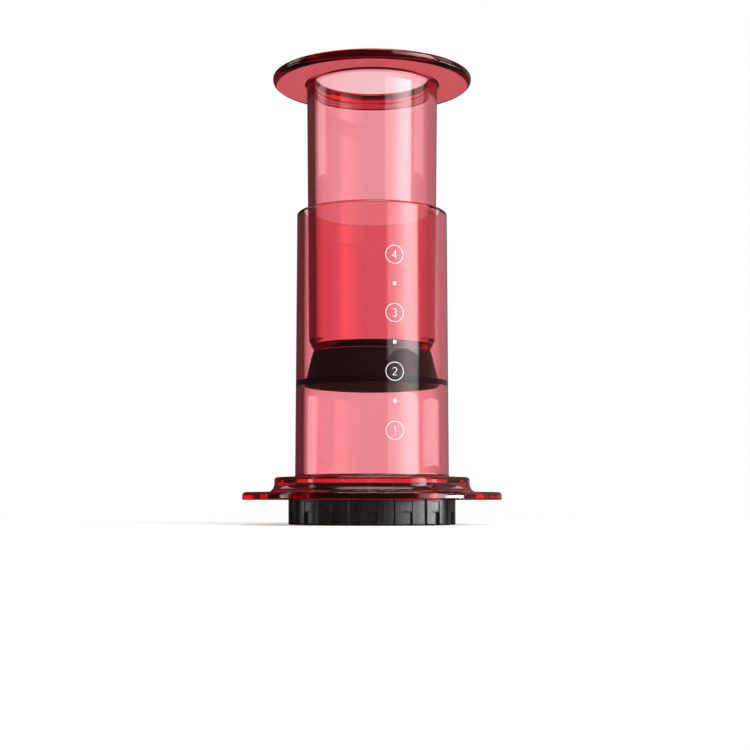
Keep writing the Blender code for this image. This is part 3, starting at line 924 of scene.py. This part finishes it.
# %% Printed scale: ribbons of ink
MARK_BEARING = math.radians(16.7)
MARK_FIRST = 37.55 * MM
MARK_PITCH = 23.5 * MM
MARK_RING_RADIUS = 3.65 * MM
MARK_LINE = 0.24 * MM
MARK_DOT_RADIUS = 0.78 * MM
NUMERAL_HEIGHT = 3.2 * MM
INK_OUT = 0.03 * MM
INK_IN = 0.05 * MM
MARK_STEPS = 96
draft_low, draft_high = platform_top + BARREL_FILLET, chamber_rim - RIM_ROUND


def bend(flat, middle_height):
    """Bend points (along, up, out) of a flat sheet round the barrel: along becomes an angle.

    The barrel's radius goes evenly from that at its foot to that at its rim.
    """
    height = middle_height + flat[:, 1]
    share = (height - draft_low) / (draft_high - draft_low)
    radius = BARREL_FOOT_RADIUS + (BARREL_RIM_RADIUS - BARREL_FOOT_RADIUS) * share
    turns = FRONT + MARK_BEARING + flat[:, 0] / radius
    return np.column_stack(((radius + flat[:, 2])[:, None] * circle(turns), height))


def at_level(flat, level):
    """Points (x, y, level) from points (x, y)."""
    return np.column_stack((flat, np.full(len(flat), level)))


def ribbon(path, closed=False):
    """A flat ribbon of ink along a path: path +- line width / 2 across it, front and back."""
    if closed:
        along = np.roll(path, -1, 0) - np.roll(path, 1, 0)
    else:
        along = np.gradient(path, axis=0)
    along /= np.hypot(*along.T)[:, None]
    across = np.stack((along[:, 1], -along[:, 0]), axis=-1) * MARK_LINE / 2
    edges = ((1, INK_OUT), (-1, INK_OUT), (-1, -INK_IN), (1, -INK_IN))
    points = np.concatenate([at_level(path + side * across, level) for side, level in edges])
    index = np.arange(len(points)).reshape(len(edges), -1)
    faces = quads(index, np.roll(index, -1, 0), closed)
    if not closed:
        faces += [index[:, 0].tolist(), index[::-1, -1].tolist()]
    return points, faces


def disc(radius):
    """A flat disc of ink: its rim front and back, each closed with one face."""
    rim = radius * circle(even_turns(MARK_STEPS))
    front, back = np.arange(2 * MARK_STEPS).reshape(2, -1)
    faces = quads(back, front) + [front.tolist(), back[::-1].tolist()]
    return np.concatenate((at_level(rim, INK_OUT), at_level(rim, -INK_IN))), faces


print("ink stands", INK_OUT / MM, "mm out of the wall and reaches", INK_IN / MM, "mm into it")

# %% [markdown]
# ### Numerals from strokes
#
# The numerals are plain ones, as thin as the rings round them. A font would be too heavy at this
# size, and its outlines can't be made lighter. So each numeral is a few strokes of the same
# ribbon, straight or along a piece of a circle, written in shares of the numeral's height.

# %% Printed scale: numerals and rings
def bow(x, y, size, start, end, steps=24):
    """Points on a circle of that size round (x, y), from start to end in degrees."""
    return np.array((x, y)) + size * circle(np.radians(np.linspace(start, end, steps + 1)))


NUMERALS = {
    "1": [[(0.06, -0.5), (0.06, 0.5)], [(0.06, 0.47), (-0.17, 0.27)]],
    "2": [[*bow(0, 0.22, 0.26, 165, -38), (-0.27, -0.45)], [(-0.29, -0.46), (0.29, -0.46)]],
    "3": [bow(-0.02, 0.24, 0.23, 150, -90), bow(-0.02, -0.23, 0.25, 90, -150)],
    "4": [[(0.12, -0.5), (0.12, 0.5)], [(0.12, 0.48), (-0.3, -0.2)], [(-0.32, -0.2), (0.3, -0.2)]],
}
ring = ribbon(MARK_RING_RADIUS * circle(even_turns(MARK_STEPS)), closed=True)
dot = disc(MARK_DOT_RADIUS)
sheets = []
for step, strokes in enumerate(NUMERALS.values()):
    height = MARK_FIRST + step * MARK_PITCH
    sheets.append((height, *ring))
    sheets += [(height, *ribbon(np.array(stroke) * NUMERAL_HEIGHT)) for stroke in strokes]
    if step < len(NUMERALS) - 1:
        sheets.append((height + MARK_PITCH / 2, *dot))
mark_points, mark_faces, start = [], [], 0
for height, flat, faces in sheets:
    mark_points.append(bend(flat, height))
    mark_faces += [[start + number for number in face] for face in faces]
    start += len(flat)
marks = mesh_piece("printed_scale", np.concatenate(mark_points), mark_faces)
print("printed scale:", len(sheets), "strokes of ink,", len(mark_faces), "faces")

# %% [markdown]
# ### White ink
#
# Screen-printed ink is nearly matt and not quite even. In places the screen leaves a pinhole,
# where the red plastic shows through, and fine noise above a threshold gives just those.

# %% Printed scale: white ink
THIN_INK = (0.80, 0.80, 0.79)
FULL_INK = (0.86, 0.86, 0.86)
PINHOLE_COLOUR = (0.7, 0.45, 0.45)

ink, surface, tree = principled("white_ink")
pinholes = remap(tree, noise(tree, scale=4000), 0.68, 0.74)
solid = blend(tree, noise(tree, scale=300), THIN_INK, FULL_INK)
feed(surface, "Base Color", blend(tree, pinholes, solid, PINHOLE_COLOUR))
feed(surface, "Roughness", 0.55)
feed(surface, "Normal", bump(tree, noise(tree, scale=FINE_SCALE), depth=0.005 * MM))
marks.data.materials.append(ink)
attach(marks, "chamber")
print("printed over", round(marks.dimensions.z / MM, 1), "mm of the barrel")

# %% [markdown]
# ## The floor
#
# The press stands on a plain pale floor that keeps its soft shadow. A floor that is only lit
# turns grey in the distance and draws a horizon behind the press. So the floor glows a little
# to the eye, and far from the press it fades to the white of the backdrop. What the press
# mirrors is a much darker floor, which keeps its undersides as deep in colour as they should be.

# %% Floor
FLOOR_RADIUS = 4.0
FLOOR_CORNERS = 64
FLOOR_DROP = 0.02 * MM
FLOOR_LEVEL = 0.8
FLOOR_MIRRORED_LEVEL = 0.06
FLOOR_GLOW = 0.3
FADE_START, FADE_END = 0.15, 0.6

floor_edge = FLOOR_RADIUS * circle(even_turns(FLOOR_CORNERS))
floor = mesh_piece("floor", at_level(floor_edge, -FLOOR_DROP), [list(range(FLOOR_CORNERS))])
pale, surface, tree = principled("pale_floor")
feed(surface, "Roughness", 0.9)
feed(surface, "Specular IOR Level", 0)
ray = node(tree, "LightPath").outputs
mirrored = maths(tree, "MINIMUM", ray["Glossy Depth"], 1.0)
shade = blend(tree, mirrored, grey(FLOOR_LEVEL), grey(FLOOR_MIRRORED_LEVEL))
feed(surface, "Base Color", shade)
straight = maths(tree, "ADD", ray["Is Camera Ray"], ray["Is Transmission Ray"])
seen = maths(tree, "MULTIPLY", straight, maths(tree, "SUBTRACT", 1.0, mirrored))
feed(surface, "Emission Strength", maths(tree, "MULTIPLY", seen, FLOOR_GLOW))
away = node(tree, "VectorMath", own_place(tree))
away.operation = "LENGTH"
fade = maths(tree, "MULTIPLY", seen, remap(tree, away.outputs["Value"], FADE_START, FADE_END))
white = node(tree, "Emission", WHITE)
faded = node(tree, "MixShader", fade, surface.outputs["BSDF"], white.outputs["Emission"])
feed(tree.nodes["Material Output"], "Surface", faded.outputs["Shader"])
floor.data.materials.append(pale)
print(f"floor: {2 * FLOOR_RADIUS:.0f} m across, white beyond {FADE_END} m")

# %% [markdown]
# ## The room
#
# Clear plastic shows only what stands round it, so the room is as much a part of its look as the
# dye is. Straight through, a ray finds the white backdrop. A ray that the plastic turns steeply
# upward finds the dark above the backdrop, and that draws the rims. A mirrored ray finds the
# room at its bearing: dim on the left, brighter behind on the right, and dimmer all round if it
# never entered the plastic. One that went from face to face inside an edge finds an even grey.
# Matt surfaces only get an even soft light. A real room could be built of cards and flags, but
# each would show in the others' mirror images. One world does all of it, by the kind of ray and
# its direction.

# %% World
ROOM_LEVELS = (
    (-180, 0.15), (-120, 0.12), (-70, 0.1), (-50, 0.1), (8, 0.1), (9, 0.6),
    (50, 0.6), (75, 0.4), (110, 0.2), (180, 0.15),
)
CEILING_FROM, CEILING_TO = 0.42, 0.60
CEILING_LEVEL = 0.04
SOFT_LEVEL = 0.55
SURFACE_SHARE = 0.4
GUIDED_FROM, GUIDED_TO = 1, 3
GUIDED_LEVEL = 0.4

world = bpy.data.worlds.new("studio")
bpy.context.scene.world = world
world.use_nodes = True
tree = world.node_tree
direction = node(tree, "TexCoord").outputs["Generated"]
parts = node(tree, "SeparateXYZ", direction).outputs
bearing = maths(tree, "ARCTAN2", parts["X"], parts["Y"])
bearing_share = maths(tree, "MULTIPLY_ADD", bearing, 1 / TURN, 0.5)
room = grey_ramp(tree, bearing_share, [(deg / 360 + 0.5, level) for deg, level in ROOM_LEVELS])
ray = node(tree, "LightPath").outputs
straight = maths(tree, "ADD", ray["Is Camera Ray"], ray["Is Transmission Ray"])
turned_back = maths(tree, "ADD", ray["Glossy Depth"], ray["Diffuse Depth"])
seen = maths(tree, "MULTIPLY", straight, maths(tree, "LESS_THAN", turned_back, 0.5))
ceiling = remap(tree, parts["Z"], CEILING_FROM, CEILING_TO)
ceiling = maths(tree, "MULTIPLY", ceiling, maths(tree, "SUBTRACT", 1.0, ray["Is Camera Ray"]))
dimmed = node(tree, "VectorMath", room)
dimmed.operation = "SCALE"
feed(dimmed, "Scale", remap(tree, ray["Transmission Depth"], 0.0, 1.0, SURFACE_SHARE, 1.0))
shown = blend(tree, seen, dimmed.outputs["Vector"], WHITE)
shown = blend(tree, ceiling, shown, grey(CEILING_LEVEL))
guided = remap(tree, ray["Glossy Depth"], GUIDED_FROM, GUIDED_TO)
shown = blend(tree, guided, shown, grey(GUIDED_LEVEL))
scattered = maths(tree, "MINIMUM", ray["Diffuse Depth"], 1.0)
shown = blend(tree, scattered, shown, grey(SOFT_LEVEL))
feed(tree.nodes["Background"], "Color", shown)
print("room levels:", ROOM_LEVELS)

# %% [markdown]
# ## The softboxes
#
# A tall softbox stands in front of the press on the right. A tube mirrors a lamp at half the
# bearing that the lamp has from the tube, so two bearings set the place and the width of the
# upright streak. A real softbox is brightest in the middle and never ends in a hard line, so its
# brightness follows a profile from one side to the other. It is made of three panels, one above
# the other, and the middle one is dimmer: the black seal mirrors that one, and would turn grey.
# Smaller boxes beside the press light the cap and the flanks, and one overhead draws the thin
# light lines along rims and edges.
#
# Seen from inside the plastic the lamps are dimmer. At full strength their second image, from
# the far wall of each tube, would be brighter than the backdrop that is seen through it.

# %% Softboxes
LAMP_DISTANCE = 0.9
LAMP_SHARE_INSIDE = 0.35
EVEN_PROFILE = ((0, 0), (0.2, 1.0), (0.8, 1.0), (1, 0))
KEY_PROFILE = (
    (0, 0), (0.08, 0.28), (0.24, 0.32), (0.42, 0.62),
    (0.58, 1.0), (0.88, 1.0), (0.97, 0.15), (1, 0),
)
KEY_BEARINGS = (21, 75)
LEFT_BEARINGS = (-112, -86)
HIGH_PANEL = (0.33, 0.75)


def softbox(name, place, target, width, height, radiance, profile=EVEN_PROFILE):
    """An area lamp that faces its target, with a brightness profile from left to right."""
    lamp = bpy.data.lights.new(name, "AREA")
    lamp.shape = "RECTANGLE"
    lamp.size, lamp.size_y = width, height
    lamp.energy = radiance * math.pi * width * height
    lamp.use_nodes = True
    tree = lamp.node_tree
    across = node(tree, "NewGeometry").outputs["Parametric"]
    across = node(tree, "SeparateXYZ", across).outputs["X"]
    depth = node(tree, "LightPath").outputs["Transmission Depth"]
    inside = remap(tree, depth, 0.0, 1.0, 1.0, LAMP_SHARE_INSIDE)
    strength = maths(tree, "MULTIPLY", grey_ramp(tree, across, profile), inside)
    feed(tree.nodes["Emission"], "Strength", strength)
    holder = in_scene(name, lamp)
    holder.location = place
    holder.rotation_euler = (Vector(target) - Vector(place)).to_track_quat("-Z", "Y").to_euler()
    holder.visible_camera = False
    print(f"{name}: {width:.2f} x {height:.2f} m, {lamp.energy:.1f} W")


def upright_softbox(name, bearings, heights, radiance, profile=EVEN_PROFILE):
    """A softbox between two bearings, from the front towards the right, and two heights."""
    middle, half = math.radians(sum(bearings)) / 2, math.radians(bearings[1] - bearings[0]) / 2
    height = sum(heights) / 2
    place = (LAMP_DISTANCE * math.sin(middle), -LAMP_DISTANCE * math.cos(middle), height)
    width = 2 * LAMP_DISTANCE * math.tan(half)
    softbox(name, place, (0, 0, height), width, heights[1] - heights[0], radiance, profile)


upright_softbox("lower_key_softbox", KEY_BEARINGS, (0.0, 0.125), 7.5, KEY_PROFILE)
upright_softbox("middle_key_softbox", KEY_BEARINGS, (0.125, 0.168), 3.4, KEY_PROFILE)
upright_softbox("upper_key_softbox", KEY_BEARINGS, (0.168, 0.78), 8.5, KEY_PROFILE)
upright_softbox("cap_softbox", (66, 112), (0.0, 0.035), radiance=24.0)
upright_softbox("low_right_softbox", (78, 120), (0.05, 0.118), radiance=2.6)
upright_softbox("high_right_softbox", (76, 104), HIGH_PANEL, radiance=1.8)
upright_softbox("low_left_softbox", LEFT_BEARINGS, (0.0, 0.12), radiance=2.5)
upright_softbox("high_left_softbox", LEFT_BEARINGS, HIGH_PANEL, radiance=2.0)
softbox("top_softbox", (0.1, -0.3, 1.0), (0, 0, 0.1), width=0.5, height=0.5, radiance=4.0)

# %% [markdown]
# ## The camera
#
# The camera stands low, about level with the filter cap, and looks up a little with a long lens.
# Its place and tilt were fitted to the photograph from the ellipses of the rims. It stands
# nearer to the floor than a camera usually may, so its near limit is drawn in to a centimetre.

# %% Camera
CAMERA_PLACE = (0.00125, -0.612, 0.0089)
LOOK_UP_DEGREES = 4.976
CAMERA_LENS = 70.56
NEAR_LIMIT = 0.01

camera_data = bpy.data.cameras.new("camera")
camera_data.lens = CAMERA_LENS
camera_data.clip_start = NEAR_LIMIT
camera = in_scene("camera", camera_data)
camera.location = CAMERA_PLACE
camera.rotation_euler = (math.radians(90 + LOOK_UP_DEGREES), 0, 0)
bpy.context.scene.camera = camera
bpy.context.scene.view_settings.view_transform = "Standard"
print("camera at", CAMERA_PLACE, "with a lens of", CAMERA_LENS, "mm")

# %% [markdown]
# ## Light paths
#
# Light that enters the edge of a flange is mirrored from face to face inside it, dozens of times
# before it leaves. With the usual limit of a few bounces the edges would turn black, so the
# limits are raised.

# %% Light paths
MOST_BOUNCES = 32
light_paths = bpy.context.scene.cycles
light_paths.max_bounces = MOST_BOUNCES
light_paths.glossy_bounces = MOST_BOUNCES
light_paths.transmission_bounces = MOST_BOUNCES
print("bounces allowed:", light_paths.max_bounces)
